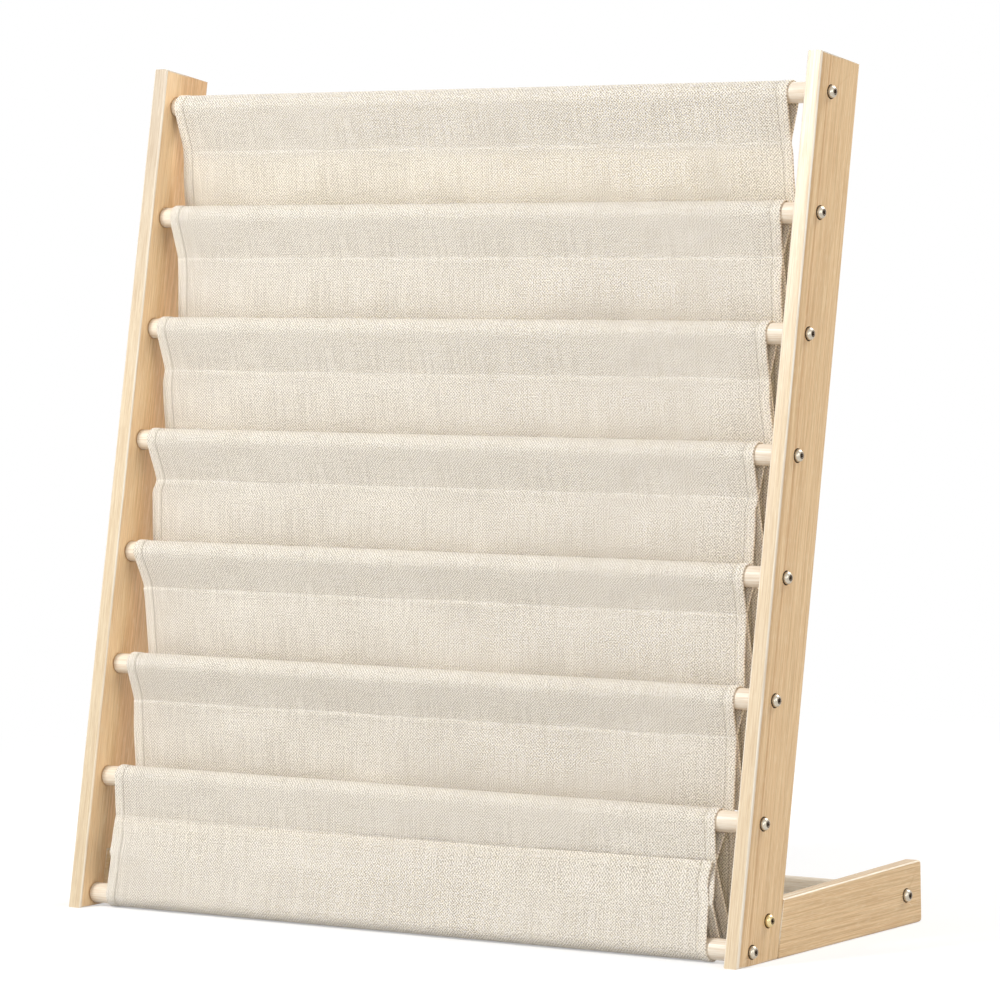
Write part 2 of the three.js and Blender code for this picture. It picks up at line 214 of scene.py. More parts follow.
def roughen(tree, shader, height, strength, distance):
    """Lets a height raise and sink the shader's surface."""
    bump = tree.nodes.new("ShaderNodeBump")
    settle(bump, {"Strength": strength, "Distance": distance})
    tree.links.new(height, bump.inputs["Height"])
    tree.links.new(bump.outputs[0], shader.inputs["Normal"])


def pine(name, turn, heart, pale, dark, ring_scale=150, coat_roughness=0.38, grain_depth=0.5,
         edge_tones=None, upper_edge_shade=None, growth_lines=(), front_light_back_shade=None):
    """Grain that runs along the turned Z, with growth rings round the line at heart."""
    finish, tree, wood = start_finish(name)
    mixed, ramp, worked_out = partial(tinted, tree), partial(ranged, tree), partial(worked, tree)
    where = tree.nodes.new("ShaderNodeTexCoord").outputs
    along_grain = placed(tree, where["Object"], {"Rotation": turn})

    def drawn_out(length_scale, place=(0, 0, 0)):
        return placed(tree, along_grain, {"Scale": (1, 1, length_scale), "Location": place})

    rings = tree.nodes.new("ShaderNodeTexWave")
    rings.wave_type, rings.rings_direction, rings.wave_profile = "RINGS", "Z", "SAW"
    settle(rings, {"Scale": ring_scale, "Distortion": 1.6, "Detail": 2, "Detail Scale": 0.35})
    tree.links.new(drawn_out(0.05, heart), rings.inputs["Vector"])
    late = ramp(rings.outputs["Fac"], 0.45, 1.0)
    broad = noise(tree, drawn_out(0.12), 22, 2, 0.55)
    streak = noise(tree, drawn_out(0.02, (1, 4, 0)), 800, 3, 0.6)
    grain = noise(tree, drawn_out(0.014, (2, 5, 1)), 640, 2, 0.5)
    fibre = noise(tree, drawn_out(0.022), 1000, 3, 0.6)
    pores = noise(tree, drawn_out(0.16, (3, 1, 2)), 700, 1, 0.5)
    halfway = tuple(0.5 * (a + b) for a, b in zip(pale, dark))
    colour = mixed(ramp(late, 0, 1, 0, 0.2), pale, dark)
    colour = mixed(ramp(broad, 0.35, 0.65, 0.0, 0.07), colour, halfway)
    colour = mixed(ramp(streak, 0.5, 0.62, 0.0, 0.11 + 0.3 * grain_depth), colour, dark)
    if growth_lines or front_light_back_shade:
        uneven_front = ramp(broad, 0.3, 0.7, board_front - 0.002, board_front + 0.002)
        from_front = worked_out("ADD", parts_of(tree, along_grain)[1], uneven_front)
    # Painted shade further back from the front edge, toward the cloth.
    if front_light_back_shade:
        colour = mixed(ramp(from_front, 0.016, 0.031, 0.0, 0.6), colour, front_light_back_shade[1])
    colour = mixed(ramp(grain, 0.36, 0.64, 0.0, grain_depth), colour, (0.70, 0.64, 0.535), "MULTIPLY")
    # Painted light near the front edge.
    if front_light_back_shade:
        colour = mixed(ramp(from_front, 0.024, 0.009, 0.0, 0.85), colour, front_light_back_shade[0])
    for place, half_width, share, tone in growth_lines:
        apart = worked_out("ABSOLUTE", worked_out("SUBTRACT", from_front, place))
        colour = mixed(ramp(apart, half_width, 0.3 * half_width, 0.0, share), colour, tone)
    if edge_tones:
        edge_pale, edge_dark, edge_highlight = edge_tones
        facing = parts_of(tree, where["Normal"])
        sideways = worked_out("ABSOLUTE", facing[0])
        edge = mixed(ramp(late, 0, 1, 0, 0.22), edge_pale, edge_dark)
        edge = mixed(ramp(streak, 0.45, 0.72, 0.0, 0.4), edge, edge_dark)
        # Painted shade: the narrow faces darker toward the top.
        if upper_edge_shade:
            edge = mixed(ramp(parts_of(tree, where["Object"])[2], 0.45, 0.72), edge, upper_edge_shade)
        colour = mixed(ramp(sideways, 0.75, 0.2), colour, edge)
        # Painted highlight: eased edges that face up or forward take the pale third edge tone, made uneven
        # by the broad noise.
        eased = worked_out("MULTIPLY", ramp(sideways, 0.12, 0.35), ramp(sideways, 0.985, 0.9))
        upward = worked_out("SUBTRACT", facing[2], facing[1])
        forward = worked_out("MULTIPLY", eased, ramp(upward, 0.0, 0.3))
        painted_edge_highlight = worked_out("MULTIPLY", forward, ramp(broad, 0.3, 0.6, 0.55, 0.9))
        colour = mixed(painted_edge_highlight, colour, edge_highlight)
    colour = mixed(ramp(fibre, 0.4, 0.62, 0.0, 0.4), colour, (0.62, 0.46, 0.30), "MULTIPLY")
    colour = mixed(ramp(pores, 0.3, 0.5, 0.12, 0.0), colour, (1.0, 0.80, 0.55), "SCREEN")
    gloss = ramp(fibre, 0.3, 0.7, coat_roughness - 0.06, coat_roughness + 0.1)
    tree.links.new(colour, wood.inputs["Base Color"])
    tree.links.new(gloss, wood.inputs["Roughness"])
    roughen(tree, wood, fibre, 0.18, 0.0004)
    settle(wood, {"Specular IOR Level": 0.4, "Coat Weight": 0.25, "Coat Roughness": 0.22})
    return finish


def take_up(piece):
    """Makes a piece the only one that the next operator works on."""
    bpy.ops.object.select_all(action="DESELECT")
    piece.select_set(True)
    bpy.context.view_layer.objects.active = piece


def cut_out(piece, cutter):
    """Cuts a shape out of a piece, and takes the shape away."""
    cut = piece.modifiers.new("cut", "BOOLEAN")
    cut.operation, cut.solver, cut.object = "DIFFERENCE", "EXACT", cutter
    bpy.context.view_layer.objects.active = piece
    bpy.ops.object.modifier_apply(modifier=cut.name)
    bpy.data.objects.remove(cutter)


def planed_copy(node_name, seats):
    """A merged copy of a board, its eased edges shaded round and round seats sunk in it."""
    piece = bpy.data.objects.new(f"{node_name}_planed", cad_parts[node_name].data.copy())
    bpy.context.collection.objects.link(piece)
    take_up(piece)
    bpy.ops.object.mode_set(mode="EDIT")
    bpy.ops.mesh.select_all(action="SELECT")
    bpy.ops.mesh.remove_doubles(threshold=0.00002)
    bpy.ops.object.mode_set(mode="OBJECT")
    for place, radius, depth in seats:
        bpy.ops.object.select_all(action="DESELECT")
        bpy.ops.mesh.primitive_cylinder_add(vertices=40, radius=radius, depth=2 * depth, location=place,
                                            rotation=(0, math.pi / 2, 0))
        cut_out(piece, bpy.context.object)
    take_up(piece)
    bpy.ops.object.shade_smooth_by_angle(angle=math.radians(50))
    even = piece.modifiers.new("even", "WEIGHTED_NORMAL")
    even.keep_sharp = True
    bpy.ops.object.modifier_apply(modifier=even.name)
    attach(piece, "root")
    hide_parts(node_name)
    return piece


def finish_wood(piece, wood, face_x, seats):
    """The wood's finish all over, and painted shade, a dark finish, on the walls and floors of the seats
    sunk in the outer face.
    """
    piece.data.materials.clear()
    piece.data.materials.append(wood)
    piece.data.materials.append(seat_shade)
    for face in piece.data.polygons:
        centre = np.array(face.center)
        sunk = abs(centre[0] - face_x) > 0.00005
        for place, radius, depth in seats:
            near = np.hypot(*(centre[1:] - np.array(place[1:]))) < radius * 1.01
            if sunk and near and abs(centre[0] - place[0]) < depth * 1.01:
                face.material_index = 1


def middle_of(node_name):
    low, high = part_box(node_name)
    return (np.array(low) + np.array(high)) / 2


def seats_at(face_x, node_names, seat):
    """A seat of one radius and depth in a face for each of these pieces."""
    return [((face_x, *middle_of(node_name)[1:]), *seat) for node_name in node_names]


board_lean, board_front = math.radians(11.5), 0.142
board_inner_x, board_outer_x = 0.345, 0.36
upright_grain, level_grain = (board_lean, 0, 0), (math.pi / 2, 0, 0)
board_tones = {"pale": (0.85, 0.612, 0.343), "dark": (0.71, 0.427, 0.199)}
# The third of each board's edge tones is a painted highlight for the eased edges that face up or forward.
board_woods = {
    # The left board is a lighter copy of the pine, painted light on its shaded inner face; its faces also
    # get painted light near the front edge and painted shade further back toward the cloth.
    "left": {"heart": (0.435, 0.135, 0.0), "pale": (0.945, 0.688, 0.393), "dark": (0.795, 0.486, 0.233),
             # Painted shade on the left board's narrow faces: tones a little darker than the right board's,
             # against the key lamp's stronger light, and darker still toward the top.
             "edge_tones": ((0.76, 0.63, 0.44), (0.70, 0.52, 0.31), (0.86, 0.80, 0.68)),
             "upper_edge_shade": (0.60, 0.50, 0.37), "front_light_back_shade": ((1.0, 0.725, 0.43), (0.78, 0.44, 0.20))},
    "right": {"heart": (-0.262, 0.118, 0.4), **board_tones,
              "edge_tones": ((0.785, 0.648, 0.46), (0.76, 0.58, 0.35), (0.92, 0.86, 0.74)),
              "growth_lines": ((0.0025, 0.004, 0.75, (0.62, 0.395, 0.19)),
                               (0.0145, 0.0019, 0.8, (0.60, 0.35, 0.15)))},
}
rail_hearts = {"left": (0.44, 0.055, 0.2), "right": (-0.27, 0.062, 0.7)}
# The third rail tone is a painted highlight on the rails' eased edges that face up or forward.
rail_tones = ((0.77, 0.55, 0.30), (0.70, 0.455, 0.225), (0.96, 0.89, 0.74))
screw_seat, dowel_seat = (0.0062, 0.0020), (0.0097, 0.0010)
# Painted shade: a dark finish for the walls and floors of the sunk screw seats and of the hexagon sockets.
seat_shade, _, seat_paint = start_finish("seat_shade")
settle(seat_paint, {"Base Color": (0.06, 0.035, 0.018, 1), "Roughness": 0.9})
board_dowels = [*(f"shelf_dowel_{i}" for i in range(1, 8)), "bottom_dowel"]
dowel_names = [*board_dowels, "rear_dowel"]
for side_name, facing in (("left", -1), ("right", 1)):
    board_pine = pine(f"pine_board_{side_name}", upright_grain, **board_woods[side_name])
    rail_pine = pine(f"pine_rail_{side_name}", level_grain, rail_hearts[side_name], **board_tones,
                     edge_tones=rail_tones)
    for node_name, wood, dowels, bolts in (
            (f"side_board_{side_name}", board_pine, board_dowels, [f"foot_bolt_{side_name}"]),
            (f"foot_rail_{side_name}", rail_pine, ["rear_dowel"], [])):
        screw_seats = seats_at(facing * board_outer_x, dowels + bolts, screw_seat)
        dowel_seats = seats_at(facing * board_inner_x, dowels, dowel_seat)
        strip = planed_copy(node_name, screw_seats + dowel_seats)
        finish_wood(strip, wood, facing * board_outer_x, screw_seats)


# Dowels. Nine turned rods of pale pine, 18 mm thick, cut square with slightly eased ends.
# Eight lie between the side boards and one between the rails, with a screw at each end.
def finish_edges(piece, width, segments=3, angle=40):
    bevel = piece.modifiers.new("eased", "BEVEL")
    bevel.width = width
    bevel.segments = segments
    bevel.limit_method = "ANGLE"
    bevel.angle_limit = math.radians(angle)
    bpy.context.view_layer.objects.active = piece
    bpy.ops.object.modifier_apply(modifier=bevel.name)


def smooth(piece, angle=35):
    take_up(piece)
    bpy.ops.object.shade_smooth_by_angle(angle=math.radians(angle))


def copy_to(model, name, place):
    """A copy with its own mesh, moved by a matrix that goes into its vertices."""
    piece = model.copy()
    piece.data = model.data.copy()
    piece.name = name
    bpy.context.collection.objects.link(piece)
    piece.data.transform(place)
    return piece


def stands_for(piece, node_name):
    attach(piece, "root")
    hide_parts(node_name)


dowel_radius, dowel_length = 0.009, 0.6894
bpy.ops.object.select_all(action="DESELECT")
bpy.ops.mesh.primitive_cylinder_add(vertices=64, radius=dowel_radius, depth=dowel_length,
                                    end_fill_type="NGON", rotation=(0, math.pi / 2, 0))
dowel_model = bpy.context.object
bpy.ops.object.transform_apply(location=True, rotation=True, scale=True)
bpy.ops.object.mode_set(mode="EDIT")
for ring_x in (-0.2, 0.2):
    bpy.ops.mesh.select_all(action="SELECT")
    bpy.ops.mesh.bisect(plane_co=(ring_x, 0, 0), plane_no=(1, 0, 0))
bpy.ops.object.mode_set(mode="OBJECT")
finish_edges(dowel_model, 0.0007)
smooth(dowel_model)
dowel_pine = pine("pine_dowel", (0, -math.pi / 2, 0), (0.05, 0.06, 0.0), (0.92, 0.845, 0.725),
                  (0.87, 0.745, 0.57), ring_scale=170, coat_roughness=0.44, grain_depth=0.1)
dowel_model.data.materials.append(dowel_pine)
dowel_axis = {dowel_name: middle_of(dowel_name) for dowel_name in dowel_names}
for dowel_name in dowel_names:
    dowel = copy_to(dowel_model, f"{dowel_name}_turned", Matrix.Translation(dowel_axis[dowel_name]))
    stands_for(dowel, dowel_name)
bpy.data.objects.remove(dowel_model)


# Screws, foot bolts and foot nuts. Nickel-plated furniture screws with a low dome and a
# hexagon socket at every dowel end, brass ones and sleeve nuts at the lap joints.
def metal(name, colour, roughness):
    """A plated metal, faintly stained and with a fine grit in its gloss."""
    finish, tree, plate = start_finish(name)
    where = tree.nodes.new("ShaderNodeTexCoord").outputs["Object"]
    grit, stain = noise(tree, where, 1400, 3), noise(tree, where, 260)
    tone = tinted(tree, stain, colour, tuple(0.72 * c for c in colour))
    gloss = ranged(tree, grit, 0, 1, roughness - 0.07, roughness + 0.12)
    settle(plate, {"Metallic": 1})
    tree.links.new(tone, plate.inputs["Base Color"])
    tree.links.new(gloss, plate.inputs["Roughness"])
    roughen(tree, plate, grit, 0.08, 0.0001)
    return finish


def pick_face(piece, which):
    """Selects only the highest face, with max, or the lowest, with min."""
    bpy.ops.mesh.select_all(action="DESELECT")
    mesh = bmesh.from_edit_mesh(piece.data)
    which(mesh.faces, key=lambda face: face.calc_center_median().z).select_set(True)
    bmesh.update_edit_mesh(piece.data)


def domed_fastener(name, head, rings, socket, shank, plate):
    """Head radius and rim, then rings of inset and rise, a hexagon socket and the shank."""
    bpy.ops.object.select_all(action="DESELECT")
    bpy.ops.mesh.primitive_cylinder_add(vertices=48, radius=head[0], depth=head[1],
                                        location=(0, 0, head[1] / 2))
    piece = bpy.context.object
    piece.name = name
    bpy.ops.object.transform_apply(location=True, rotation=True, scale=True)
    bpy.ops.object.mode_set(mode="EDIT")
    bpy.ops.mesh.select_mode(type="FACE")
    pick_face(piece, max)
    for inset, rise in rings:
        bpy.ops.mesh.inset(thickness=inset)
        bpy.ops.transform.translate(value=(0, 0, rise))
    pick_face(piece, min)
    bpy.ops.mesh.inset(thickness=head[0] - shank[0])
    bpy.ops.mesh.extrude_region_move(TRANSFORM_OT_translate={"value": (0, 0, -shank[1])})
    bpy.ops.object.mode_set(mode="OBJECT")
    peak = head[1] + sum(rise for _, rise in rings)
    bpy.ops.object.select_all(action="DESELECT")
    bpy.ops.mesh.primitive_cylinder_add(vertices=6, radius=socket[0], depth=2 * socket[1],
                                        location=(0, 0, peak), rotation=(0, 0, 0.2))
    cut_out(piece, bpy.context.object)
    finish_edges(piece, 0.00022, 2, 50)
    smooth(piece, 32)
    piece.data.materials.append(plate)
    piece.data.materials.append(seat_shade)
    # Painted shade: the socket's walls and floor take the dark seat finish.
    for face in piece.data.polygons:
        if math.hypot(*face.center[:2]) < 0.93 * socket[0] and face.center[2] > head[1] * 0.3:
            face.material_index = 1
    return piece


def drive_in(model, node_name, axis, facing, face_x):
    """Puts a copy of a fastener in its seat, with its head turned out of the face."""
    place = Matrix.Translation((face_x, axis[1], axis[2])) @ Matrix.Rotation(facing * math.pi / 2, 4, "Y")
    stands_for(copy_to(model, f"{node_name}_domed", place), node_name)


screw_x, nut_x = 0.3580, 0.3447
dome_head, hex_socket = (0.0054, 0.0031), (0.0020, 0.0022)
dome_rings = [(0.00012, 0.00083), (0.00036, 0.00077), (0.00056, 0.00066), (0.00073, 0.00051),
              (0.00086, 0.00036)]
nickel = metal("nickel_plate", (0.62, 0.555, 0.45), 0.27)
brass = metal("brass_plate", (0.80, 0.64, 0.34), 0.25)
screw_model = domed_fastener("screw", dome_head, dome_rings, hex_socket, (0.0025, 0.048), nickel)
bolt_model = domed_fastener("bolt", dome_head, dome_rings, hex_socket, (0.003, 0.0135), brass)
nut_model = domed_fastener("nut", (0.00575, 0.0010), [(0.0006, 0.0006), (0.0006, 0.0002)],
                           (0.0026, 0.0012), (0.0041, 0.0006), brass)
for side_name, facing in (("left", -1), ("right", 1)):
    for dowel_name in dowel_names:
        drive_in(screw_model, f"{dowel_name}_screw_{side_name}", dowel_axis[dowel_name], facing,
                 facing * screw_x)
    bolt_name, nut_name = f"foot_bolt_{side_name}", f"foot_nut_{side_name}"
    bolt_axis = middle_of(bolt_name)
    drive_in(bolt_model, bolt_name, bolt_axis, facing, facing * screw_x)
    drive_in(nut_model, nut_name, bolt_axis, -facing, facing * nut_x)
for model in (screw_model, bolt_model, nut_model):
    bpy.data.objects.remove(model)


# Canvas. Undyed cotton in a plain weave, dull, slightly fuzzy and a little uneven from
# thread to thread, stitched with pale thread. Its threads are drawn 1.4 mm wide, wider
# than real ones, so that they show.
cloth_half, cloth_thick, sleeve_radius = 0.327, 0.0009, 0.0101
hem_wide, stitch_inset = 0.0092, 0.0072
threads_across, threads_down = 680, 730
cloth_dark, cloth_pale = (0.39, 0.335, 0.262), (0.94, 0.877, 0.775)


def canvas(name):
    """A weave on the sheet's own flat coordinates, which are in metres."""
    finish, tree, cloth = start_finish(name)
    ramp, worked_out = partial(ranged, tree), partial(worked, tree)
    lay = tree.nodes.new("ShaderNodeTexCoord").outputs["UV"]

    def uneven(scale_u, scale_v, place, detail=2.0):
        spread = placed(tree, lay, {"Scale": (scale_u, scale_v, 1), "Location": place})
        return noise(tree, spread, 1, detail, dimensions="2D")

    def waves(place, threads, way):
        turns = worked_out("MULTIPLY", place, math.pi * threads)
        return worked_out("SINE", worked_out(way, turns, wander))

    across_at, down_at, _ = parts_of(tree, lay)
    wander = ramp(uneven(260, 260, (7, 4, 0)), 0.3, 0.7, -0.35, 0.35)
    across = waves(across_at, threads_across, "ADD")
    weave = worked_out("MULTIPLY", across, waves(down_at, threads_down, "SUBTRACT"))
    weave = worked_out("ADD", weave, worked_out("MULTIPLY", across, 0.1))
    warp = uneven(threads_across * 0.9, 24, (5, 2, 0))
    weft = uneven(24, threads_across * 0.9, (1, 8, 0))
    slub = uneven(threads_across * 1.2, threads_across * 1.2, (3, 3, 0), 0.0)
    cloud = uneven(14, 14, (0, 0, 0), 3.0)
    # Painted light: the doubled hem a little lighter. Painted shade: a thin dark line just beside the hem's
    # inner edge, where its step stands.
    inset = worked_out("MINIMUM", across_at, worked_out("SUBTRACT", 2 * cloth_half, across_at))
    fold = worked_out("ABSOLUTE", worked_out("SUBTRACT", inset, hem_wide + 0.0008))
    shade = ramp(warp, 0.3, 0.7, -0.11, 0.11)
    for part in (ramp(weft, 0.3, 0.7, -0.06, 0.06), ramp(slub, 0.3, 0.7, -0.34, 0.34),
                 ramp(weave, -1, 1, -0.56, 0.56), ramp(cloud, 0.3, 0.7, -0.02, 0.02),
                 ramp(inset, hem_wide, hem_wide + 0.0006, 0.1, 0.0),
                 ramp(fold, 0.0004, 0.0013, -0.3, 0.0), 0.57):
        shade = worked_out("ADD", shade, part)
    tone = tree.nodes.new("ShaderNodeValToRGB")
    for stop, colour in zip(tone.color_ramp.elements, (cloth_dark, cloth_pale)):
        stop.color = (*colour, 1)
    tree.links.new(shade, tone.inputs[0])
    tree.links.new(tone.outputs[0], cloth.inputs["Base Color"])
    settle(cloth, {"Roughness": 0.92, "Specular IOR Level": 0.2, "Sheen Weight": 0.1,
                   "Sheen Roughness": 0.45, "Subsurface Weight": 0.22,
                   "Subsurface Radius": (1.0, 0.9, 0.6), "Subsurface Scale": 0.003})
    height = worked_out("ADD", worked_out("MULTIPLY", weave, 0.5), worked_out("MULTIPLY", slub, 1.2))
    roughen(tree, cloth, height, 0.35, 0.0003)
    return finish


canvas_finish = canvas("natural_canvas")
thread_finish, tree, thread = start_finish("sewing_thread")
twist = noise(tree, tree.nodes.new("ShaderNodeTexCoord").outputs["Object"], 2500)
thread_tone = tinted(tree, twist, (0.74, 0.69, 0.59), (0.92, 0.89, 0.82))
tree.links.new(thread_tone, thread.inputs["Base Color"])
settle(thread, {"Roughness": 0.75, "Sheen Weight": 0.2})


def arc_points(centre, radius, start, end, steps):
    turns = np.linspace(start, end, steps)
    return np.stack([centre[0] + radius * np.cos(turns), centre[1] + radius * np.sin(turns)], 1)


def tangent(centre, point, turn):
    """The angle at which a straight run from a point touches the sleeve's circle."""
    reach = np.array(point) - centre
    return math.atan2(reach[1], reach[0]) + turn * math.acos(sleeve_radius / np.hypot(*reach))


def straight(start, end, steps=12):
    share = np.linspace(0, 1, steps)[:, None]
    return np.array(start) * (1 - share) + np.array(end) * share


def round_dowel(centre, start, end, way):
    """From one point round a dowel to another: over it where way is 1, under it where -1."""
    first, last = tangent(centre, start, way), tangent(centre, end, -way) + way * 2 * math.pi
    sleeve = arc_points(centre, sleeve_radius, first, last, 40)
    return np.vstack([straight(start, sleeve[0]), sleeve, straight(sleeve[-1], end)])


def along(points):
    steps = np.hypot(*np.diff(points, axis=0).T)
    return np.concatenate([[0], np.cumsum(steps)])


def resampled(points, at):
    run = along(points)
    keep = np.concatenate([[True], np.diff(run) > 1e-7])
    return np.stack([np.interp(at, run[keep], points[keep, k]) for k in (0, 1)], 1)


def woven_rows(length, marks):
    """Places of the rows down a sheet: even ones, and close ones beside each seam."""
    step, fine = 0.0034, 0.0008
    rows = list(np.linspace(0, length, int(length / step) + 1))
    for mark in marks:
        rows = [r for r in rows if abs(r - mark) > 2.4 * fine]
        rows += [mark + k * fine for k in (-2, -1, 0, 1, 2)]
    edges = [0.0003, 0.0008, 0.0018, length - 0.0018, length - 0.0008, length - 0.0003]
    return np.array(sorted([r for r in rows if 0 <= r <= length] + edges))


def woven_columns():
    """Places of the columns, -1 to 1, close together in the two side hems."""
    hem = [0, 0.0002, 0.0006, 0.0014, 0.003, 0.005, 0.0062, stitch_inset - 0.0004, stitch_inset,
           stitch_inset + 0.0004, 0.0084, hem_wide, hem_wide + 0.0006, hem_wide + 0.0016]
    inner = np.linspace(hem_wide + 0.004, 2 * cloth_half - hem_wide - 0.004, int(0.62 / 0.0036))
    outer = [2 * cloth_half - h for h in hem]
    return np.array(sorted(set(hem) | set(inner) | set(outer))) / cloth_half - 1


columns = woven_columns()


def soft_step(value, low, high):
    share = np.clip((value - low) / (high - low), 0, 1)
    return share * share * (3 - 2 * share)


def gentle_noise(x, run, seed):
    """A smooth uneven surface from a few long waves, the same on every run."""
    chance = np.random.default_rng(seed)
    total = np.zeros(np.broadcast(x, run).shape)
    for _ in range(14):
        wave = chance.uniform(0.035, 0.16)
        tilt = chance.uniform(0, 2 * math.pi)
        phase = chance.uniform(0, 2 * math.pi)
        total += wave * np.sin(2 * math.pi * (x * math.cos(tilt) + run * math.sin(tilt)) / wave + phase)
    return total / 0.35


def edge_places(stations, rows):
    """Where the two side edges lie at every row, eased from station to station."""
    sides = []
    for side in (1, 2):
        edge = np.full(len(rows), stations[0][side])
        for (start, *before), (end, *after) in zip(stations[:-1], stations[1:]):
            edge += (after[side - 1] - before[side - 1]) * soft_step(rows, start, end)
        sides.append(edge)
    return sides[0][:, None], sides[1][:, None]


def surface_of(points, rows, lift, stations, rise):
    """The sheet's middle surface at every row and column."""
    line = resampled(points, rows)
    slope = resampled(points, rows + 0.0012) - resampled(points, rows - 0.0012)
    slope /= np.hypot(*slope.T)[:, None]
    left, right = edge_places(stations, rows)
    x = left + (right - left) * (columns[None, :] + 1) / 2
    run = rows[:, None] + 0 * x
    raised = lift(x, run)
    y = line[:, 0:1] + slope[:, 1:2] * raised
    z = line[:, 1:2] - slope[:, 0:1] * raised + (rise(x, run) if rise else 0)
    return np.stack([x, y, z], 2)


def directions(middle):
    down = np.gradient(middle, axis=0)
    across = np.gradient(middle, axis=1)
    out = np.cross(across, down)
    return out / np.maximum(np.linalg.norm(out, axis=2, keepdims=True), 1e-12)


def soft_piece(name, points, faces, finish):
    """A smooth mesh of these points and faces, as a new object."""
    mesh = bpy.data.meshes.new(name)
    mesh.from_pydata(points, [], faces)
    mesh.polygons.foreach_set("use_smooth", [True] * len(mesh.polygons))
    mesh.update()
    mesh.materials.append(finish)
    piece = bpy.data.objects.new(name, mesh)
    bpy.context.collection.objects.link(piece)
    return piece


def sheet_mesh(name, middle, out, thickness, rows):
    """A closed sheet from its middle surface, with both faces and a rounded edge."""
    count_r, count_c = middle.shape[:2]
    layer_size = count_r * count_c
    front = middle + out * thickness[..., None] / 2
    rear = middle - out * thickness[..., None] / 2
    points = np.concatenate([front.reshape(-1, 3), rear.reshape(-1, 3)])
    index = np.arange(layer_size).reshape(count_r, count_c)
    corners = [index[:-1, :-1], index[1:, :-1], index[1:, 1:], index[:-1, 1:]]
    front_quads = np.stack(corners, -1).reshape(-1, 4)
    rear_quads = front_quads[:, [0, 3, 2, 1]] + layer_size
    rim = np.concatenate([index[0, :-1], index[:-1, -1], index[-1, :0:-1], index[:0:-1, 0]])
    follow = np.roll(rim, -1)
    rim_quads = np.stack([rim, follow, follow + layer_size, rim + layer_size], -1)
    faces = np.concatenate([front_quads, rear_quads, rim_quads])
    piece = soft_piece(name, points.tolist(), faces.tolist(), canvas_finish)
    flat_u = np.tile((columns + 1) * cloth_half, count_r)
    flat_uv = np.concatenate([np.stack([flat_u, np.repeat(rows, count_c)], 1)] * 2)
    used = np.empty(len(piece.data.loops), dtype=np.int32)
    piece.data.loops.foreach_get("vertex_index", used)
    lay = piece.data.uv_layers.new(name="cloth")
    lay.data.foreach_set("uv", flat_uv[used].astype(np.float32).ravel())
    return piece


def hem_thickness(rows, length, marks, end_hem):
    """Doubled where the edges are turned in and dimpled where a seam pulls them down."""
    run, inset = np.meshgrid(rows, cloth_half - np.abs(columns) * cloth_half, indexing="ij")
    thick = cloth_thick * np.ones_like(run)
    thick += cloth_thick * (1 - soft_step(inset, hem_wide - 0.0001, hem_wide + 0.0005))
    thick -= 0.00045 * np.exp(-(((inset - stitch_inset) / 0.0005) ** 2))
    for mark in marks:
        thick -= 0.0002 * np.exp(-(((run - mark) / 0.0008) ** 2))
    if end_hem:
        thick += cloth_thick * soft_step(run, length - end_hem - 0.0005, length - end_hem + 0.0005)
    edge = np.minimum(inset, np.minimum(run, length - run))
    return thick * np.sqrt(np.clip(edge / 0.0006, 0.12, 1))


def stitch_mesh(name, runs):
    """Stitches along lines of points: each a short thread, thin at both ends."""
    pitch, share = 0.0032, 0.78
    half_wide, half_high, raised, sunk = 0.00026, 0.00022, 0.00012, 0.0001
    points, faces = [], []
    for path, out in runs:
        run = np.concatenate([[0], np.cumsum(np.linalg.norm(np.diff(path, axis=0), axis=1))])
        for start in np.arange(pitch * 0.3, run[-1] - pitch, pitch):
            ends = [np.array([np.interp(start + share * pitch * t, run, path[:, k]) for k in range(3)])
                    for t in (0, 0.25, 0.75, 1)]
            lift = np.array([np.interp(start, run, out[:, k]) for k in range(3)])
            lift /= np.linalg.norm(lift)
            ahead = ends[3] - ends[0]
            ahead /= np.linalg.norm(ahead)
            side = np.cross(lift, ahead)
            base = len(points)
            points.append(ends[0] - lift * sunk)
            for middle in ends[1:3]:
                centre = middle + lift * raised
                points += [centre + half_wide * side, centre + half_high * lift,
                           centre - half_wide * side, centre - half_high * lift]
            points.append(ends[3] - lift * sunk)
            for k in range(4):
                n = (k + 1) % 4
                faces += [(base, base + 1 + n, base + 1 + k), (base + 9, base + 5 + k, base + 5 + n)]
                faces.append((base + 1 + k, base + 1 + n, base + 5 + n, base + 5 + k))
    piece = soft_piece(name, [tuple(p) for p in points], faces, thread_finish)
    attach(piece, "root")
    return piece


def nearest(places, wanted):
    return int(np.argmin(np.abs(places - wanted)))


def finish_tier(number, points, marks, lift, stations, rise=None, extra_stitches=(), end_hem=0.0):
    """A tier's cloth and stitching from the line that it follows in the side view."""
    length = along(points)[-1]
    rows = woven_rows(length, marks)
    middle = surface_of(points, rows, lift, stations, rise)
    out = directions(middle)
    thickness = hem_thickness(rows, length, marks, end_hem)
    piece = sheet_mesh(f"sling_tier_{number}_cloth", middle, out, thickness, rows)
    lines = []

    def sew(rows_at, columns_at):
        """A needle line shows as stitches on both faces, front and rear."""
        path, direction = middle[rows_at, columns_at], out[rows_at, columns_at]
        half = thickness[rows_at, columns_at][:, None] / 2
        lines.extend([(path + direction * half, direction), (path - direction * half, -direction)])

    for side in (-1, 1):
        sew(slice(2, -2), nearest(columns, side * (1 - stitch_inset / cloth_half)))
    for mark in marks[:1] + marks[2:]:
        sew(nearest(rows, mark), slice(3, -3))
    for share, first, last in extra_stitches:
        sew(np.flatnonzero((rows >= first) & (rows <= last)), nearest(columns, share))
    stitching = stitch_mesh(f"sling_tier_{number}_stitching", lines)
    stands_for(piece, f"sling_tier_{number}")


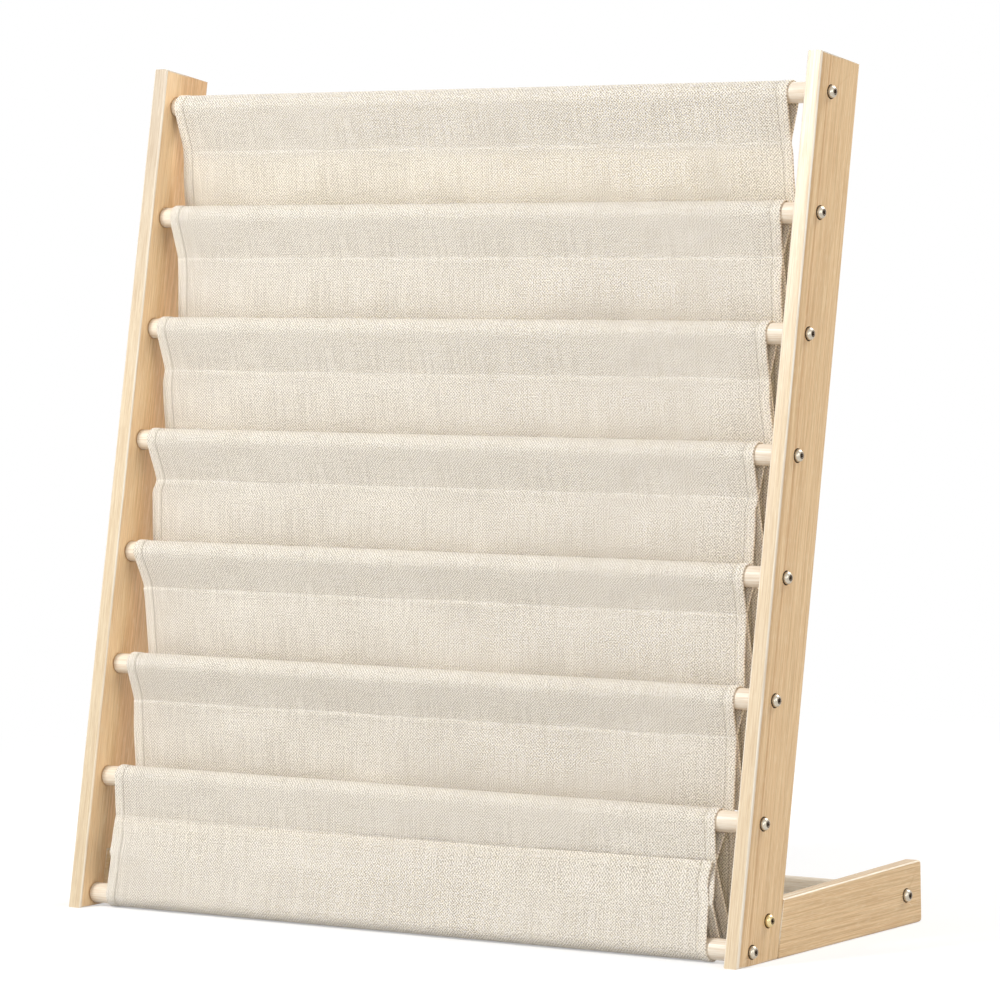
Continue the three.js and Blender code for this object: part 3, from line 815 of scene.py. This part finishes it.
# Sling tiers 1 to 6. One canvas panel each: a sleeve over its dowel, sewn 32 to 41 mm
# below it, then down behind the next dowel as a pocket whose front wall is sewn to that
# dowel's seam.
seam_drop = {1: 0.041, 2: 0.037, 3: 0.038, 4: 0.036, 5: 0.032, 6: 0.0325, 7: 0.034}
seam_forward = {7: 0.0085}
# Each tier's left and right edge (mm) at its dowel, at its seam, under the seam and at its mouth
tier_edges = {
    1: ((-339.5, 322.5), (-337.2, 321), (-337.5, 322), (-338, 323.5)),
    2: ((-331.5, 327.2), (-330.2, 323.8), (-330.3, 323), (-333, 323)),
    3: ((-333.8, 323.8), (-332.5, 321.8), (-335, 322), (-333.5, 326)),
    4: ((-331.6, 323), (-328.5, 321.8), (-333.5, 318.5), (-334, 315.5)),
    5: ((-334, 323.8), (-330, 321.5), (-329.5, 321), (-326.5, 319)),
    6: ((-328.2, 325.5), (-327.8, 322.7), (-328.2, 321.8), (-326, 318)),
    7: ((-328.5, 318.3), (-329, 318.5), (-329, 318.5), (-326, 323)),
}
pocket_floor = {1: 0.089, 2: 0.089, 3: 0.089, 4: 0.089, 5: 0.089, 6: 0.097}
pocket_back, pocket_round, sleeve_half = 0.012, 0.006, 0.0005
layer, allowance = np.array([sleeve_half, 0]), np.array([0, 0.005])
mouth_gap = {1: 0.0115, 2: 0.009, 3: 0.0085, 4: 0.008, 5: 0.008, 6: 0.008}
panel_belly = {1: 0.0005, 2: 0.001, 3: 0.001, 4: 0.001, 5: 0.0012, 6: 0.001}
# Each fold: how far across (mm), how wide (mm), how far it stands forward (mm)
tier_folds = {
    1: [(-245, 13, 1.0), (-68, 10, 2.6), (-5, 16, 3.0), (33, 8, 1.4), (105, 13, 1.9), (152, 8, 1.5),
        (177, 8, 1.9), (222, 11, 2.1)],
    2: [(-285, 7, 1.3), (-245, 15, 1.6), (-190, 17, 2.0), (-116, 9, 2.1), (-68, 9, 2.0), (-15, 9, 1.8),
        (35, 10, 2.0), (70, 5, 0.9), (92, 6, 1.0), (265, 12, 1.3)],
    3: [(-280, 11, 1.5), (-86, 8, 1.9), (-27, 9, 1.6), (108, 7, 2.1), (152, 9, 1.3), (190, 9, 1.1),
        (247, 9, 1.2), (278, 9, 1.2)],
    4: [(-258, 5, 1.5), (-143, 9, 1.3), (-98, 6, 1.1), (-36, 11, 1.0), (36, 9, 1.9), (250, 8, 1.2),
        (280, 8, 1.2)],
    5: [(-285, 22, -2.2), (-108, 16, 1.4), (78, 11, 2.1), (150, 13, 2.0), (192, 7, 1.4), (228, 7, 1.0),
        (258, 11, 1.8)],
    6: [(-262, 24, -1.2), (-170, 9, 1.1), (-126, 11, 1.3), (-56, 13, 2.2), (249, 9, 1.8), (282, 8, 1.3),
        (306, 6, 1.3)],
}
fold_start = {1: 0.2, 2: 0.25, 3: 0.4, 4: 0.6, 5: 0.5, 6: 0.5}


def flat_place(node_name):
    return dowel_axis[node_name][1:3]


def seam_place(number):
    forward = seam_forward.get(number, 0.0005)
    return flat_place(f"shelf_dowel_{number}") + np.array([-forward, -seam_drop[number]])


def edge_station(run, edges, inset=0.0):
    return (float(run), edges[0] / 1000 + inset, edges[1] / 1000 - inset)


def sleeve_stations(at_seam, at_dowel, at_seam_row):
    return [edge_station(0, at_seam_row, 0.001), edge_station(0.045, at_dowel),
            edge_station(at_seam - 0.04, at_dowel), edge_station(at_seam, at_seam_row)]


def folded(folds, x, slant):
    """How far a row of soft folds stands forward."""
    total = np.zeros_like(x)
    for place, wide, forward in folds:
        total += forward / 1000 * np.exp(-(((x - place / 1000 - slant) / (wide / 1000)) ** 2))
    return total


def tier_lift(number, at_seam, at_mouth, at_floor, x, run):
    """How far a tier's cloth stands forward of its plain line."""
    down = (run - at_seam) / (at_mouth - at_seam)
    grow = soft_step(down, fold_start[number], 0.95) * (1 - 0.75 * soft_step(run, at_mouth, at_floor))
    soft = gentle_noise(x, run, number)
    loose = soft_step(down, -0.05, 0.4)
    sleeve_loose = soft_step(run, at_seam - 0.034, at_seam - 0.018) * (1 - soft_step(down, -0.02, 0.02))
    ridge = 0.0006 * np.exp(-(((run - at_seam - 0.0025) / 0.0028) ** 2))
    total = folded(tier_folds[number], x, 0.12 * (run - at_mouth))
    return total * grow + 0.0009 * soft * loose + 0.0003 * soft * sleeve_loose + ridge


for number in range(1, 7):
    dowel_at, next_at = flat_place(f"shelf_dowel_{number}"), flat_place(f"shelf_dowel_{number + 1}")
    seam, next_seam = seam_place(number), seam_place(number + 1)
    sleeve = round_dowel(dowel_at, seam + layer, seam - layer, 1)
    mouth = next_at + np.array([sleeve_radius + mouth_gap[number] + 2 * sleeve_half, 0])
    panel = straight(sleeve[-1], mouth, 30)[1:]
    panel[:, 0] -= panel_belly[number] * np.sin(math.pi * np.linspace(0, 1, 30)[1:])
    turn_at, to_wall = next_at + np.array([pocket_back, -pocket_floor[number]]), np.array([pocket_round, 0])
    pocket = np.vstack([
        straight(mouth, turn_at + to_wall, 24)[1:],
        arc_points(turn_at, pocket_round, 0, -math.pi, 20)[1:],
        straight(turn_at - to_wall, next_seam + 3 * layer, 20)[1:],
        next_seam + 3 * layer + allowance,
    ])
    points = np.vstack([seam + layer - allowance, sleeve, panel, pocket])
    run = along(points)
    at_seam = run[len(sleeve)]
    at_mouth = run[len(sleeve) + len(panel)]
    at_floor = at_mouth + pocket_floor[number]
    at_dowel, at_seam_row, under_seam, at_mouth_row = tier_edges[number]
    stations = [*sleeve_stations(at_seam, at_dowel, at_seam_row),
                edge_station(at_seam + 0.012, under_seam), edge_station(at_mouth, at_mouth_row),
                edge_station(at_mouth + 0.02, (-328, 323)), edge_station(at_floor, (-325, 323)),
                edge_station(run[-1], tier_edges[number + 1][1], 0.0015)]
    finish_tier(number, points, [float(at_seam), 0.005, float(run[-1] - 0.005)],
                partial(tier_lift, number, at_seam, at_mouth, at_floor), stations)

# Sling tier 7. The last panel runs down to the bottom dowel and round it, and comes up
# in front as a band, hemmed on top and sewn down at two places into three small pockets.
dowel_at, bottom_at = flat_place("shelf_dowel_7"), flat_place("bottom_dowel")
seam = seam_place(7)
band_top_z, band_slack = 0.077, 0.0016
low_seam = bottom_at + np.array([-0.002, 0.038])
sleeve = round_dowel(dowel_at, seam + layer, seam - layer, 1)
panel = straight(sleeve[-1], low_seam + layer, 24)[1:]
low_loop = round_dowel(bottom_at, panel[-1], low_seam - layer, -1)[1:]
panel_lean = (panel[0, 0] - panel[-1, 0]) / (panel[0, 1] - panel[-1, 1])
band_top_y = panel[-1, 0] + panel_lean * (band_top_z - panel[-1, 1]) - cloth_thick - 0.0004
band = straight(low_loop[-1], (band_top_y, band_top_z), 16)[1:]
points = np.vstack([seam + layer - allowance, sleeve, panel, low_loop, band])
run = along(points)
at_seam = float(run[len(sleeve)])
at_low = float(run[len(sleeve) + len(panel)])
at_channel = float(run[len(sleeve) + len(panel) + len(low_loop)])
at_top = float(run[-1])
band_stitches = (-0.101, 0.117)
band_edges = (-cloth_half, *band_stitches, cloth_half)
band_folds = [(-250, 30, 0.5), (-130, 20, -0.5), (-60, 18, 0.9), (30, 25, 1.0), (85, 16, -0.6),
              (155, 20, 0.8), (235, 30, -1.2), (295, 20, 0.4)]


def band_lift(x, run):
    """The band stands forward between its stitch lines, and the panel behind is nearly flat."""
    up = np.clip((run - at_channel) / (at_top - at_channel), 0, 1)
    pout = np.zeros_like(x)
    for left, right in zip(band_edges[:-1], band_edges[1:]):
        share = np.clip((x - left) / (right - left), 0, 1)
        pout = np.maximum(pout, np.sin(math.pi * share) ** 0.8)
    creases = folded(band_folds, x, 0.6 * (run - at_channel))
    on_band = soft_step(run, at_channel - 0.03, at_channel + 0.005)
    soft = gentle_noise(x, run, 17)
    panel_soft = soft_step(run, at_seam, at_seam + 0.01) * (1 - soft_step(run, at_low - 0.012, at_low))
    forward = band_slack * pout * np.sin(math.pi / 2 * up) + pout * (creases + 0.0007 * soft)
    return -on_band * np.maximum(forward, 0.0002) + 0.0002 * soft * panel_soft


def band_rise(x, run):
    """The band's top edge climbs a little to the right."""
    return 0.006 * soft_step(run, at_channel, at_top) * (x / cloth_half + 1) / 2


at_dowel, at_seam_row, _, at_low_row = tier_edges[7]
stations = [*sleeve_stations(at_seam, at_dowel, at_seam_row),
            edge_station(at_low, at_low_row), edge_station(at_low + 0.03, at_low_row),
            edge_station(at_channel, (-323, 320)), edge_station((at_channel + at_top) / 2, (-323.5, 316)),
            edge_station(at_top, (-327.5, 317.5))]
finish_tier(7, points, [at_seam, 0.005, at_top - 0.006], band_lift, stations, rise=band_rise,
            extra_stitches=[(s / cloth_half, at_channel - 0.002, at_top - 0.002) for s in band_stitches],
            end_hem=0.009)
